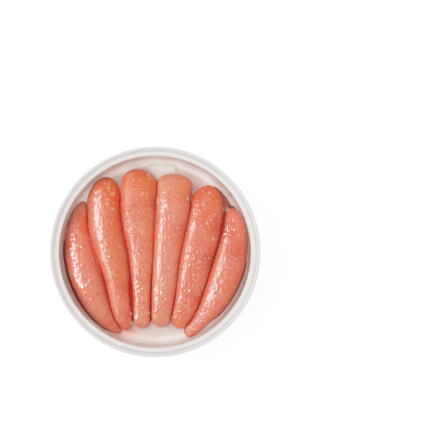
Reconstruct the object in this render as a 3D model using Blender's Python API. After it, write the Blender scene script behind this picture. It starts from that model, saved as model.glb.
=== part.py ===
"""Seasoned cod roe in its round moulded tub.

Six plump roe sacs lie side by side like an open fan on the floor of a shallow white plastic tub, thick
ends towards a small boss moulded on the floor, thin ends together at the other side. The end of one more
sac shows low down between the fifth and the sixth.

The drawing is in millimetres and is turned to metres when a mesh is made. The origin is the middle of the
tub's base, +Z is up and +Y points from the middle to the boss.
"""

import math

import bpy
import numpy as np

MM = 0.001

# Tub, driving dimensions
TUB_RADIUS = 90.0
TUB_HEIGHT = 36.0
LEDGE_HEIGHT = 32.4
MOUTH_RADIUS = 82.1
WALL_DRAFT = math.radians(2.2)
WALL = 1.1
FLOOR = 1.6
CORNER_RADIUS = 6.0
LEDGE_WIDTH = 3.4
STEP_WIDTH = 1.9
SKIRT_LENGTH = 10.0
LIP_RADIUS = 0.6
RIM_WALL = 1.3
RIM_ROUND = 1.0
EDGE = 0.3
FOOT_INSET = 1.4
TUB_SEGMENTS = 64
CORNER_STEPS = 5
LIP_STEPS = 2

# Boss on the floor, driving dimensions
BOSS_MIDDLE_X = 5.4
BOSS_OUTER_RADIUS = 75.0
BOSS_HALF_WIDTH = 10.5
BOSS_LENGTH = 22.0
BOSS_HEIGHT = 3.5
BOSS_DRAFT = 3.4
BOSS_CORNER = 3.0
BOSS_CORNER_STEPS = 3
BOSS_SINK = 0.3

# Roe, driving dimensions. A station is (x, y, half width) in plan, the five being evenly spaced from the
# thick end's tip to the thin end's tip. caps are the lengths over which the two ends round off. shoulder is
# the power of the upper outline of a cross section: 2 is an ellipse, more is flatter on top. lift raises
# the thick end off the floor where it lies over the boss.
HEIGHT_TO_WIDTH = 0.88
SETTLE = 0.10
UNDERSIDE_POWER = 3.0
GAP = 0.4
SAC_RINGS = 19
SAC_SIDES = 24
# The top comes down over these lengths at the thick and the thin end, each at most a share of the sac, and
# the middle of a ring droops by a share of its height at the tips.
DOME_LENGTHS = (30.0, 26.0)
LONGEST_DOME = 0.45
TIP_DROOP = 0.2
# Two sacs lie against each other where they are closer than the first reach, and no longer past the second.
TOUCH_REACH = (1.5, 4.0)
CURVE_STEPS = 301
TOUCH_BLEND_STEPS = 41
SACS = {
    "roe_1": dict(
        stations=((-62.2, 43.2, 8.2), (-67.8, 10.6, 11.0), (-61.0, -20.6, 13.2), (-49.6, -49.6, 9.6),
                  (-30.4, -70.0, 5.0)),
        caps=(24.0, 20.0), shoulder=2.5, lift=0.0,
    ),
    "roe_2": dict(
        stations=((-37.0, 62.4, 16.2), (-45.2, 29.8, 13.8), (-38.6, -2.4, 13.0), (-32.8, -35.6, 9.4),
                  (-23.8, -68.0, 8.8)),
        caps=(20.0, 19.4), shoulder=2.3, lift=0.0,
    ),
    "roe_3": dict(
        stations=((-12.0, 70.6, 15.2), (-15.2, 35.4, 14.4), (-13.4, 2.2, 10.8), (-12.8, -33.2, 7.4),
                  (-11.2, -66.8, 6.4)),
        caps=(11.6, 7.0), shoulder=3.1, lift=1.5,
    ),
    "roe_4": dict(
        stations=((17.6, 66.8, 14.6), (13.8, 33.0, 14.2), (10.2, 0.6, 11.8), (6.8, -33.6, 9.6),
                  (3.6, -65.6, 6.8)),
        caps=(8.0, 7.0), shoulder=3.1, lift=1.5,
    ),
    "roe_5": dict(
        stations=((41.2, 56.4, 13.8), (42.4, 24.6, 13.8), (35.2, -5.8, 13.4), (28.6, -36.6, 10.6),
                  (16.0, -65.2, 7.0)),
        caps=(13.6, 7.0), shoulder=3.5, lift=0.0,
    ),
    "roe_6": dict(
        stations=((63.4, 37.6, 10.2), (67.2, 7.4, 12.0), (59.6, -23.2, 13.4), (45.8, -50.4, 9.2),
                  (25.2, -72.4, 5.6)),
        caps=(24.0, 7.0), shoulder=2.7, lift=0.0,
    ),
}
LIFT_FADES_AT = 0.35

# The low lobe between the fifth and sixth sacs follows the wall, so its stations are worked out from these.
LOBE_RADIUS = 71.0
LOBE_ANGLES = (math.radians(51.0), math.radians(27.0))
LOBE_HALF_WIDTHS = (4.5, 5.4, 5.8, 5.4, 4.5)
LOBE_CAPS = (6.0, 6.0)
LOBE_SHOULDER = 2.2
LOBE_RINGS = 11
LOBE_SIDES = 16

# Finishes: colour (red, green, blue in linear light), roughness
WHITE_PLASTIC = ((0.72, 0.69, 0.66), 0.38)
ROE_MEMBRANE = ((0.72, 0.22, 0.13), 0.30)
ROE_IN_SHADE = ((0.50, 0.10, 0.07), 0.32)
SHARP_ANGLE = math.radians(40.0)


def clear_scene():
    """Removes what the file starts with."""
    for item in list(bpy.data.objects):
        bpy.data.objects.remove(item, do_unlink=True)


def material(name, look):
    """A plain Principled material of a colour and a roughness."""
    colour, roughness = look
    made = bpy.data.materials.new(name)
    made.use_nodes = True
    shader = made.node_tree.nodes["Principled BSDF"]
    shader.inputs["Base Color"].default_value = (*colour, 1.0)
    shader.inputs["Roughness"].default_value = roughness
    shader.inputs["Metallic"].default_value = 0.0
    return made


def add_solid(name, points, faces, finish):
    """Makes an object from points in millimetres and its faces."""
    mesh = bpy.data.meshes.new(name)
    mesh.from_pydata([tuple(float(v) * MM for v in p) for p in points], [], faces)
    mesh.validate()
    mesh.shade_smooth()
    mesh.set_sharp_from_angle(angle=SHARP_ANGLE)
    mesh.materials.append(finish)
    item = bpy.data.objects.new(name, mesh)
    bpy.context.scene.collection.objects.link(item)
    return item


def closed_tube(rings):
    """Joins rings of equal length into one closed body; the first and last ring are single points.

    rings is an array of (ring, side, 3) whose sides run clockwise seen from the first end.
    """
    count, sides = rings.shape[:2]
    points = [rings[0, 0], *rings[1:-1].reshape(-1, 3), rings[-1, 0]]
    last = len(points) - 1
    faces = []
    for side in range(sides):
        after = (side + 1) % sides
        faces.append((0, 1 + after, 1 + side))
        for ring in range(count - 3):
            low, high = 1 + ring * sides, 1 + (ring + 1) * sides
            faces.append((low + side, low + after, high + after, high + side))
        end = 1 + (count - 3) * sides
        faces.append((end + side, end + after, last))
    return points, faces


def wall_radius(z):
    """The tub's inner radius at a height: the drafted wall, and below it the rounded corner to the floor."""
    z = np.asarray(z, float)
    wall = MOUTH_RADIUS - (LEDGE_HEIGHT - LIP_RADIUS - z) * math.tan(WALL_DRAFT)
    corner_top = FLOOR + CORNER_RADIUS
    middle = corner_middle()[0]
    drop = np.clip(corner_top - z, 0.0, CORNER_RADIUS)
    corner = middle + np.sqrt(CORNER_RADIUS**2 - drop**2)
    return np.where(z >= corner_top, wall, corner)


def corner_middle():
    """The centre (radius, height) of the rounded corner between wall and floor."""
    height = FLOOR + CORNER_RADIUS
    wall = MOUTH_RADIUS - (LEDGE_HEIGHT - LIP_RADIUS - height) * math.tan(WALL_DRAFT)
    return wall - CORNER_RADIUS, height


def arc(middle, radius, start, end, steps):
    """Points along an arc, with angles in degrees from the outward direction."""
    angles = [math.radians(start + (end - start) * i / steps) for i in range(steps + 1)]
    return [(middle[0] + radius * math.cos(a), middle[1] + radius * math.sin(a)) for a in angles]


def tub_profile():
    """The tub's section as (radius, height), from the middle of the base round to the middle of the floor."""
    corner = corner_middle()
    ledge_outer = MOUTH_RADIUS + LEDGE_WIDTH
    band_inner = ledge_outer + STEP_WIDTH
    ledge_under = LEDGE_HEIGHT - RIM_WALL
    band_under = TUB_HEIGHT - RIM_WALL
    skirt_inner = TUB_RADIUS - RIM_WALL
    skirt_foot = TUB_HEIGHT - SKIRT_LENGTH
    outside = [
        (0.0, 0.0),
        (corner[0] - FOOT_INSET, 0.0),
        *arc(corner, CORNER_RADIUS + WALL, -88.0, -2.0, CORNER_STEPS),
        (MOUTH_RADIUS + WALL, ledge_under),
    ]
    rim = [
        (ledge_outer - EDGE, ledge_under),
        (band_inner - 2.0 * EDGE, band_under),
        (skirt_inner - EDGE, band_under),
        (skirt_inner, skirt_foot + EDGE),
        (skirt_inner + EDGE, skirt_foot),
        (TUB_RADIUS - 2.0 * EDGE, skirt_foot),
        (TUB_RADIUS - EDGE, skirt_foot + EDGE),
        (TUB_RADIUS, TUB_HEIGHT - RIM_ROUND),
        (TUB_RADIUS - EDGE, TUB_HEIGHT - EDGE),
        (TUB_RADIUS - RIM_ROUND, TUB_HEIGHT),
        (band_inner + EDGE, TUB_HEIGHT),
        (band_inner, TUB_HEIGHT - EDGE),
        (ledge_outer + EDGE, LEDGE_HEIGHT + EDGE),
        (ledge_outer - EDGE, LEDGE_HEIGHT),
    ]
    lip = arc((MOUTH_RADIUS + LIP_RADIUS, LEDGE_HEIGHT - LIP_RADIUS), LIP_RADIUS, 90.0, 180.0, LIP_STEPS)
    inside = arc(corner, CORNER_RADIUS, 0.0, -90.0, CORNER_STEPS)
    return outside + rim + lip + inside + [(0.0, FLOOR)]


def make_tub(finish):
    """Turns the tub's section once round the axis and fuses the boss to its floor."""
    profile = np.array(tub_profile())
    turns = np.linspace(0.0, 2.0 * math.pi, TUB_SEGMENTS, endpoint=False)
    rings = np.empty((len(profile), TUB_SEGMENTS, 3))
    rings[..., 0] = profile[:, :1] * np.cos(turns)
    rings[..., 1] = profile[:, :1] * np.sin(turns)
    rings[..., 2] = profile[:, 1:]
    points, faces = closed_tube(rings)
    tub = add_solid("tub", points, faces, finish)
    boss = make_boss("boss_tool", finish, bottom=FLOOR - BOSS_SINK)
    boolean(tub, boss, "UNION")
    return tub


def boss_outline(inset):
    """The boss in plan: a rounded rectangle whose outer side is bent to the tub's curve."""
    half, length = BOSS_HALF_WIDTH - inset, BOSS_LENGTH - inset
    corner = BOSS_CORNER
    turns = ((half - corner, -corner - inset, 0), (corner - half, -corner - inset, 90),
             (corner - half, corner - length, 180), (half - corner, corner - length, 270))
    outline = []
    for u, v, begin in turns:
        outline += arc((u, v), corner, begin, begin + 90, BOSS_CORNER_STEPS)
    x = np.array([BOSS_MIDDLE_X + u for u, _ in outline])
    y = np.sqrt(BOSS_OUTER_RADIUS**2 - x**2) + np.array([v for _, v in outline])
    return np.stack([x, y], axis=1)


def make_boss(name, finish, bottom, swell=0.0):
    """A low drafted block; swell grows it all round, for use as a clearance."""
    top = FLOOR + BOSS_HEIGHT + swell
    slope = BOSS_DRAFT / BOSS_HEIGHT
    loops = [(bottom, -swell - slope * (FLOOR + BOSS_HEIGHT - bottom)), (top, -swell)]
    points, faces = [], []
    for height, inset in loops:
        points += [(x, y, height) for x, y in boss_outline(inset)]
    count = len(points) // 2
    for i in range(count):
        after = (i + 1) % count
        faces.append((i, after, count + after, count + i))
    faces.append(tuple(range(count, 2 * count)))
    faces.append(tuple(range(count - 1, -1, -1)))
    boss = add_solid(name, points, faces, finish)
    hide_tool(boss)
    return boss


def hide_tool(item):
    """Marks an object as a cutter, which isn't part of the model."""
    item.hide_render = True
    item.display_type = "WIRE"


def boolean(item, tool, operation):
    """Adds a Boolean modifier that uses a tool object."""
    modifier = item.modifiers.new(tool.name, "BOOLEAN")
    modifier.object = tool
    modifier.operation = operation
    modifier.solver = "EXACT"


def through(values, t):
    """A smooth curve through evenly spaced values: the polynomial of least degree that meets them all."""
    at = np.linspace(0.0, 1.0, len(values))
    return np.polyval(np.polyfit(at, values, len(values) - 1), t)


def slope_of(values, t):
    """The rate of change of the same curve."""
    at = np.linspace(0.0, 1.0, len(values))
    return np.polyval(np.polyder(np.polyfit(at, values, len(values) - 1)), t)


def signed_power(value, power):
    """Raises the size of a value to a power and keeps its sign."""
    return np.sign(value) * np.abs(value) ** power


def centre_length(spec):
    """The length of a sac's centre line, added up over short steps."""
    x_at, y_at, _ = zip(*spec["stations"])
    t = np.linspace(0.0, 1.0, CURVE_STEPS)
    return np.hypot(np.diff(through(x_at, t)), np.diff(through(y_at, t))).sum()


def end_share(t, length, caps):
    """The share of the full size that is left near the ends, by a quarter ellipse over each cap."""
    share = np.ones_like(t)
    for distance, cap in zip((t * length, (1.0 - t) * length), caps):
        share = share * np.sqrt(1.0 - np.clip(1.0 - distance / cap, 0.0, 1.0) ** 2)
    return share


def plan_of(spec, t):
    """A sac in plan at places t along it: centre points, unit vectors across it, and half widths."""
    x_at, y_at, half_at = zip(*spec["stations"])
    centre = np.stack([through(x_at, t), through(y_at, t)], axis=1)
    across = np.stack([-slope_of(y_at, t), slope_of(x_at, t)], axis=1)
    across /= np.linalg.norm(across, axis=1, keepdims=True)
    return centre, across, through(half_at, t) * end_share(t, centre_length(spec), spec["caps"])


def swelling(spec, side, neighbour, t):
    """How far a side (1 right, -1 left) swells to lie against its neighbour: half the gap in plan between
    them less the clearance, fading out where they are too far apart, and evened out along the sac."""
    if neighbour is None:
        return np.zeros_like(t)
    even = np.linspace(0.0, 1.0, CURVE_STEPS)
    centre, across, half = plan_of(spec, even)
    other, _, other_half = plan_of(neighbour, even)
    edge = centre + side * half[:, None] * across
    gap = (np.linalg.norm(edge[:, None] - other[None], axis=2) - other_half).min(axis=1)
    closeness = np.clip((TOUCH_REACH[1] - gap) / (TOUCH_REACH[1] - TOUCH_REACH[0]), 0.0, 1.0)
    window = np.hanning(TOUCH_BLEND_STEPS)
    evened = np.convolve(0.5 * (gap - GAP) * closeness, window / window.sum(), mode="same")
    return np.interp(t, even, evened)


def sac_rings(spec, rings, sides, swell=0.0, left=None, right=None):
    """The surface of a roe sac as rings of points.

    The centre line is a smooth curve through the stations. A ring's half width is the smooth curve through
    the stations' half widths, rounded off over the two caps by quarter ellipses, and each side swells
    towards its neighbour. Its upper and lower halves are superellipses, and the upper one domes down over a
    longer stretch at both ends, where the sac droops. The sac is settled on the floor, which flattens its
    underside, and pressed against the wall, which stops it there.
    """
    t = 0.5 - 0.5 * np.cos(np.linspace(0.0, math.pi, rings))
    centre, across, half = plan_of(spec, t)
    length = centre_length(spec)
    height = through([station[2] for station in spec["stations"]], t) * HEIGHT_TO_WIDTH
    dome = end_share(t, length, np.minimum(DOME_LENGTHS, LONGEST_DOME * length))
    rest = FLOOR + GAP + height * (1.0 - SETTLE) * (1.0 - TIP_DROOP * (1.0 - dome))
    rest = rest + spec["lift"] * np.clip(1.0 - t / LIFT_FADES_AT, 0.0, 1.0)
    turn = np.linspace(0.0, 2.0 * math.pi, sides, endpoint=False)[None, :]
    upper = np.sin(turn) > 0.0
    power = np.where(upper, spec["shoulder"], UNDERSIDE_POWER)
    depth = np.where(upper, (height * dome)[:, None], (HEIGHT_TO_WIDTH * half)[:, None]) + swell
    z = np.maximum(rest[:, None] + depth * signed_power(np.sin(turn), 2.0 / power), FLOOR + GAP - swell)
    toward = np.where(np.cos(turn) > 0.0, swelling(spec, 1, right, t)[:, None],
                      swelling(spec, -1, left, t)[:, None])
    reach = (half[:, None] + toward + swell) * signed_power(np.cos(turn), 2.0 / power)
    plan = centre[:, None, :] + reach[..., None] * across[:, None, :]
    away = np.linalg.norm(plan, axis=2)
    shrink = np.minimum(1.0, (wall_radius(z) - GAP + swell) / np.maximum(away, 1.0))
    grid = np.concatenate([plan * shrink[..., None], z[..., None]], axis=2)
    grid[0], grid[-1] = grid[0].mean(axis=0), grid[-1].mean(axis=0)
    return grid


def make_sac(name, spec, finish, rings=SAC_RINGS, sides=SAC_SIDES, **shape):
    """One roe sac as a closed body."""
    points, faces = closed_tube(sac_rings(spec, rings, sides, **shape))
    return add_solid(name, points, faces, finish)


def neighbours(name):
    """The sacs on both sides of one, with None beside the wall."""
    row = [None, *SACS, None]
    place = row.index(name)
    return dict(left=SACS.get(row[place - 1]), right=SACS.get(row[place + 1]))


def make_row_of_sacs(finish):
    """The six sacs of the fan; the two whose thick ends lie over the boss are shaped by it."""
    sacs = {name: make_sac(name, spec, finish, **neighbours(name)) for name, spec in SACS.items()}
    clearance = make_boss("boss_clearance", finish, bottom=0.0, swell=GAP)
    for name, spec in SACS.items():
        if spec["lift"] > 0.0:
            boolean(sacs[name], clearance, "DIFFERENCE")
    return sacs


def make_lobe(finish):
    """The low end of one more sac, held down by its two neighbours, which leave their shape in it."""
    angles = np.linspace(LOBE_ANGLES[0], LOBE_ANGLES[1], len(LOBE_HALF_WIDTHS))
    stations = [(LOBE_RADIUS * math.cos(a), LOBE_RADIUS * math.sin(a), half)
                for a, half in zip(angles, LOBE_HALF_WIDTHS)]
    spec = dict(stations=stations, caps=LOBE_CAPS, shoulder=LOBE_SHOULDER, lift=0.0)
    lobe = make_sac("roe_lobe", spec, finish, LOBE_RINGS, LOBE_SIDES)
    for name in ("roe_5", "roe_6"):
        tool = make_sac(f"{name}_clearance", SACS[name], finish, swell=GAP, **neighbours(name))
        hide_tool(tool)
        boolean(lobe, tool, "DIFFERENCE")
    return lobe


def build():
    """Makes the whole object."""
    clear_scene()
    plastic = material("white_plastic", WHITE_PLASTIC)
    membrane = material("roe_membrane", ROE_MEMBRANE)
    shaded = material("roe_in_shade", ROE_IN_SHADE)
    make_tub(plastic)
    make_row_of_sacs(membrane)
    make_lobe(shaded)


build()
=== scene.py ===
"""Seasoned cod roe in its round tub, seen from straight above.

The file follows the object as it is packed: the moulded tub, the roe sacs laid side by side, the dark end of
a sac that lies low beside them, the juice that gathers where they meet, and the shreds of membrane that
stick up there. Sizes are in millimetres, in the frame of the solids: the origin is the middle of the tub's
base, +Z is up, and +Y points to the boss on the floor. They become metres where a mesh is made. Only the
surface below, the lamps and the camera's clip distances are given in metres.
"""

import math

import bpy
import numpy as np
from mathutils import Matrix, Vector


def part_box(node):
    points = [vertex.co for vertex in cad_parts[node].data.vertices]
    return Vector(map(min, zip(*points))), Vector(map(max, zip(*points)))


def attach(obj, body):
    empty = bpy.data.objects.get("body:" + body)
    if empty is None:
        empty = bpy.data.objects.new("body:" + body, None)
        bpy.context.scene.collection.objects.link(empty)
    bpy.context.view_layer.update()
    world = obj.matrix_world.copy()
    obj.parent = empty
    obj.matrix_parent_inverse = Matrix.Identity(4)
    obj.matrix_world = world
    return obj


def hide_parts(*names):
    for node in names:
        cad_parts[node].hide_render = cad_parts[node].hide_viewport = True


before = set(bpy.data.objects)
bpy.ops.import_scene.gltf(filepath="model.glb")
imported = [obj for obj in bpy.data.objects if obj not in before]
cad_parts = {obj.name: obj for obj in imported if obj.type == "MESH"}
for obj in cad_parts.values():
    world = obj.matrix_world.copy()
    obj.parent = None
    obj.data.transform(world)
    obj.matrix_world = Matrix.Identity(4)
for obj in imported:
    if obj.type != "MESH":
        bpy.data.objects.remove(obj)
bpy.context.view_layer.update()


# Tub: one injection moulding of white polypropylene. A drafted wall rises from the flat base through a
# round corner to a ledge, where a lid would sit, and steps up to a rim with a skirt hanging outside it. A
# low boss stands on the floor at one side. It replaces the faceted solid with true curves.
MM = 0.001
TUB_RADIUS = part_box("tub")[1][0] / MM
TUB_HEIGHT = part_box("tub")[1][2] / MM
LEDGE_HEIGHT = TUB_HEIGHT - 3.6
MOUTH_RADIUS = 82.1
LIP = 0.6
WALL_DRAFT = math.radians(2.2)
WALL = 1.1
FLOOR = 1.6
CORNER_RADIUS = 6.0
LEDGE_WIDTH = 3.4
STEP_WIDTH = 1.9
RIM_WALL = 1.3
SKIRT_LENGTH = 10.0
FOOT_INSET = 1.4
UNDERSIDE_INSET = 0.3
BAND_SIDE = 1.0
SKIRT_LEAN = 0.35
# The two fine steps of the rim, as (width, height), and how far each slopes out and down.
SHOULDER = (0.6, 0.25)
LEDGE_BEAD = (0.35, 0.2)
BEAD_SLOPE = (0.1, 0.05)
CORNER_HEIGHT = FLOOR + CORNER_RADIUS
CORNER_MIDDLE = MOUTH_RADIUS - (LEDGE_HEIGHT - LIP - CORNER_HEIGHT) * math.tan(WALL_DRAFT) - CORNER_RADIUS

BOSS_MIDDLE_X = 5.4
BOSS_OUTER_RADIUS = 75.0
BOSS_HALF_WIDTH = 10.5
BOSS_LENGTH = 22.0
BOSS_HEIGHT = 3.5
BOSS_DRAFT = 3.4
BOSS_CORNER = 1.1
BOSS_EDGE = 0.4
BOSS_MARGIN = 4.0
# Columns of the turned section, in degrees as (first, past the last, step): beside the boss, and elsewhere.
BOSS_COLUMNS = (68.0, 100.0, 0.25)
OTHER_COLUMNS = (100.0, 428.0, 2.0)


def wall_radius(z):
    """The tub's inner radius at a height: the drafted line of the wall, and below the corner's top the
    corner's circle, whose middle lies one corner radius in from the wall."""
    wall = MOUTH_RADIUS - (LEDGE_HEIGHT - LIP - z) * math.tan(WALL_DRAFT)
    drop = np.clip(CORNER_HEIGHT - z, 0.0, CORNER_RADIUS)
    return np.where(z >= CORNER_HEIGHT, wall, CORNER_MIDDLE + np.sqrt(CORNER_RADIUS**2 - drop**2))


def soft_greater(a, b, blend):
    """The greater of two values with a rounded change-over: half of their sum plus the root of their squared
    difference and the squared blend width. It lies half that width too high where the two are equal."""
    return 0.5 * (a + b + np.sqrt((a - b) ** 2 + blend**2))


def boss_height(x, y):
    """Height of the boss over the floor. Its top is a rounded rectangle bent to the tub's curve; outside
    its outline the side falls evenly with the distance, and both edges of that slope are rounded."""
    across = np.abs(x - BOSS_MIDDLE_X) - BOSS_HALF_WIDTH + BOSS_CORNER
    bend = np.sqrt(np.clip(BOSS_OUTER_RADIUS**2 - x**2, 0.0, None))
    along = np.abs(y - bend + BOSS_LENGTH / 2.0) - BOSS_LENGTH / 2.0 + BOSS_CORNER
    outside = np.hypot(np.maximum(across, 0.0), np.maximum(along, 0.0))
    distance = outside + np.minimum(np.maximum(across, along), 0.0) - BOSS_CORNER
    slope = BOSS_HEIGHT * (1.0 - distance / BOSS_DRAFT)
    capped = -soft_greater(-slope, -BOSS_HEIGHT, BOSS_EDGE)
    return soft_greater(capped, 0.0, BOSS_EDGE) - 0.5 * BOSS_EDGE


def floor_height(x, y):
    """Height of what lies under a point of the tub: the floor, or the boss on it."""
    return FLOOR + np.maximum(boss_height(x, y), 0.0)


def arc(middle, radius, start, end, steps):
    """Points (radius, height) on a circle, at even angles in degrees from the outward direction."""
    angles = np.radians(np.linspace(start, end, steps + 1))
    return np.stack([middle[0] + radius * np.cos(angles), middle[1] + radius * np.sin(angles)], axis=1)


def soften(corners, reach, steps):
    """Rounds the corners of a polyline. From a point at most `reach` before each corner to one as far
    after it, and at most 0.45 of a side away, the line follows the parabola that touches both sides."""
    sides = np.diff(corners, axis=0)
    lengths = np.hypot(sides[:, 0], sides[:, 1])
    ways = sides / lengths[:, None]
    cut = np.minimum(reach, 0.45 * np.minimum(lengths[:-1], lengths[1:]))[:, None, None]
    u = np.linspace(0.0, 1.0, steps + 1)[None, :, None]
    before = corners[1:-1, None] - cut * ways[:-1, None]
    after = corners[1:-1, None] + cut * ways[1:, None]
    curve = before * (1.0 - u) ** 2 + corners[1:-1, None] * 2.0 * u * (1.0 - u) + after * u**2
    return np.concatenate([corners[:1], curve.reshape(-1, 2), corners[-1:]])


def tub_section():
    """The tub's section as (radius, height), from the base's middle round the outside, over the rim and
    down the inside to the floor's middle. The floor's points are close together where the boss stands."""
    corner = (CORNER_MIDDLE, CORNER_HEIGHT)
    ledge_outer = MOUTH_RADIUS + LEDGE_WIDTH
    band_inner = ledge_outer + STEP_WIDTH
    skirt_inner = TUB_RADIUS - RIM_WALL
    skirt_foot = TUB_HEIGHT - SKIRT_LENGTH
    base = [(0.0, 0.0), (40.0, 0.0), (CORNER_MIDDLE - FOOT_INSET, 0.0)]
    outer_corner = arc(corner, CORNER_RADIUS + WALL, -88.0, -2.0, 16)
    rim = [
        (MOUTH_RADIUS + WALL, LEDGE_HEIGHT - RIM_WALL),
        (ledge_outer - UNDERSIDE_INSET, LEDGE_HEIGHT - RIM_WALL),
        (band_inner - 2.0 * UNDERSIDE_INSET, TUB_HEIGHT - RIM_WALL),
        (skirt_inner - UNDERSIDE_INSET, TUB_HEIGHT - RIM_WALL),
        (skirt_inner, skirt_foot),
        (TUB_RADIUS - SKIRT_LEAN, skirt_foot),
        (TUB_RADIUS, TUB_HEIGHT - BAND_SIDE),
        (TUB_RADIUS, TUB_HEIGHT),
        (band_inner + SHOULDER[0] + BEAD_SLOPE[0], TUB_HEIGHT),
        (band_inner + SHOULDER[0], TUB_HEIGHT - SHOULDER[1]),
        (band_inner, TUB_HEIGHT - SHOULDER[1] - BEAD_SLOPE[1]),
        (ledge_outer, LEDGE_HEIGHT + LEDGE_BEAD[1] + BEAD_SLOPE[1]),
        (ledge_outer - LEDGE_BEAD[0], LEDGE_HEIGHT + LEDGE_BEAD[1]),
        (ledge_outer - LEDGE_BEAD[0] - BEAD_SLOPE[0], LEDGE_HEIGHT),
        (MOUTH_RADIUS, LEDGE_HEIGHT),
    ]
    wall_foot = (CORNER_MIDDLE + CORNER_RADIUS, CORNER_HEIGHT)
    rounded = soften(np.array([*base[1:], *outer_corner, *rim, wall_foot]), LIP, 3)
    wall = np.linspace(rounded[-2], rounded[-1], 10)[1:]
    inner_corner = arc(corner, CORNER_RADIUS, 0.0, -90.0, 28)[1:]
    close_to = BOSS_OUTER_RADIUS - BOSS_LENGTH - BOSS_MARGIN
    floor_radii = [*np.linspace(CORNER_MIDDLE - 0.3, close_to, 78), *np.linspace(close_to - 2.0, 0.0, 8)]
    floor = np.stack([floor_radii, np.full(len(floor_radii), FLOOR)], axis=1)
    return np.concatenate([base[:1], rounded[:-1], wall, inner_corner, floor])


def skin(name, rings):
    """A closed skin over a grid of rings, which run clockwise seen from the first one. Neighbouring rings
    are joined by quads, and the first and the last ring, each one point, by triangles."""
    count, sides = rings.shape[:2]
    points = np.concatenate([rings[0, :1], rings[1:-1].reshape(-1, 3), rings[-1, :1]]) * MM
    here = 1 + np.arange((count - 2) * sides).reshape(count - 2, sides)
    next_side = np.roll(here, -1, axis=1)
    first = np.stack([np.zeros(sides, int), next_side[0], here[0]], axis=-1)
    quads = np.stack([here[:-1], next_side[:-1], next_side[1:], here[1:]], axis=-1)
    last = np.stack([here[-1], next_side[-1], np.full(sides, len(points) - 1)], axis=-1)
    corners = np.concatenate([first.ravel(), quads.ravel(), last.ravel()])
    sizes = np.concatenate([np.full(sides, 3), np.full(quads.shape[0] * sides, 4), np.full(sides, 3)])
    mesh = bpy.data.meshes.new(name)
    mesh.vertices.add(len(points))
    mesh.vertices.foreach_set("co", points.ravel())
    mesh.loops.add(len(corners))
    mesh.loops.foreach_set("vertex_index", corners)
    mesh.polygons.add(len(sizes))
    mesh.polygons.foreach_set("loop_start", np.cumsum(sizes) - sizes)
    mesh.polygons.foreach_set("use_smooth", np.ones(len(sizes), bool))
    mesh.update(calc_edges=True)
    piece = bpy.data.objects.new(name, mesh)
    bpy.context.scene.collection.objects.link(piece)
    return piece


def make_tub():
    """The section turned round the axis, with columns close together where the boss is, and the boss
    raised from the floor's points."""
    section = tub_section()
    turn = np.radians(np.concatenate([np.arange(*BOSS_COLUMNS), np.arange(*OTHER_COLUMNS)]))
    x = section[:, :1] * np.cos(turn)
    y = section[:, :1] * np.sin(turn)
    z = np.broadcast_to(section[:, 1:], x.shape).copy()
    inner = np.arange(len(section)) > np.argmax(section[:, 1])
    low = inner[:, None] & (z < CORNER_HEIGHT)
    boss_top = FLOOR + boss_height(x, y)
    z = np.where(low & (boss_top > z), boss_top, z)
    return skin("tub_moulding", np.stack([x, y, z], axis=2))


def linear(hex_colour):
    """An sRGB hex colour in linear light, with full alpha: a channel c is ((c + 0.055) / 1.055) to the
    power 2.4 above 0.04045, and c / 12.92 below."""
    channels = [int(hex_colour[i : i + 2], 16) / 255.0 for i in (0, 2, 4)]
    return (*(((c + 0.055) / 1.055) ** 2.4 if c > 0.04045 else c / 12.92 for c in channels), 1.0)


def add(tree, kind, inputs, **settings):
    """Adds a node. Settings are its own properties, and an input is a value or another node's output."""
    made = tree.nodes.new(kind)
    for name, value in settings.items():
        setattr(made, name, value)
    for name, value in inputs.items():
        if isinstance(value, bpy.types.NodeSocket):
            tree.links.new(value, made.inputs[name])
        else:
            made.inputs[name].default_value = value
    return made


def new_material(name):
    """A material, its node tree, and the output node, which is all that the tree holds."""
    made = bpy.data.materials.new(name)
    made.use_nodes = True
    made.node_tree.nodes.clear()
    return made, made.node_tree, made.node_tree.nodes.new("ShaderNodeOutputMaterial")


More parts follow.
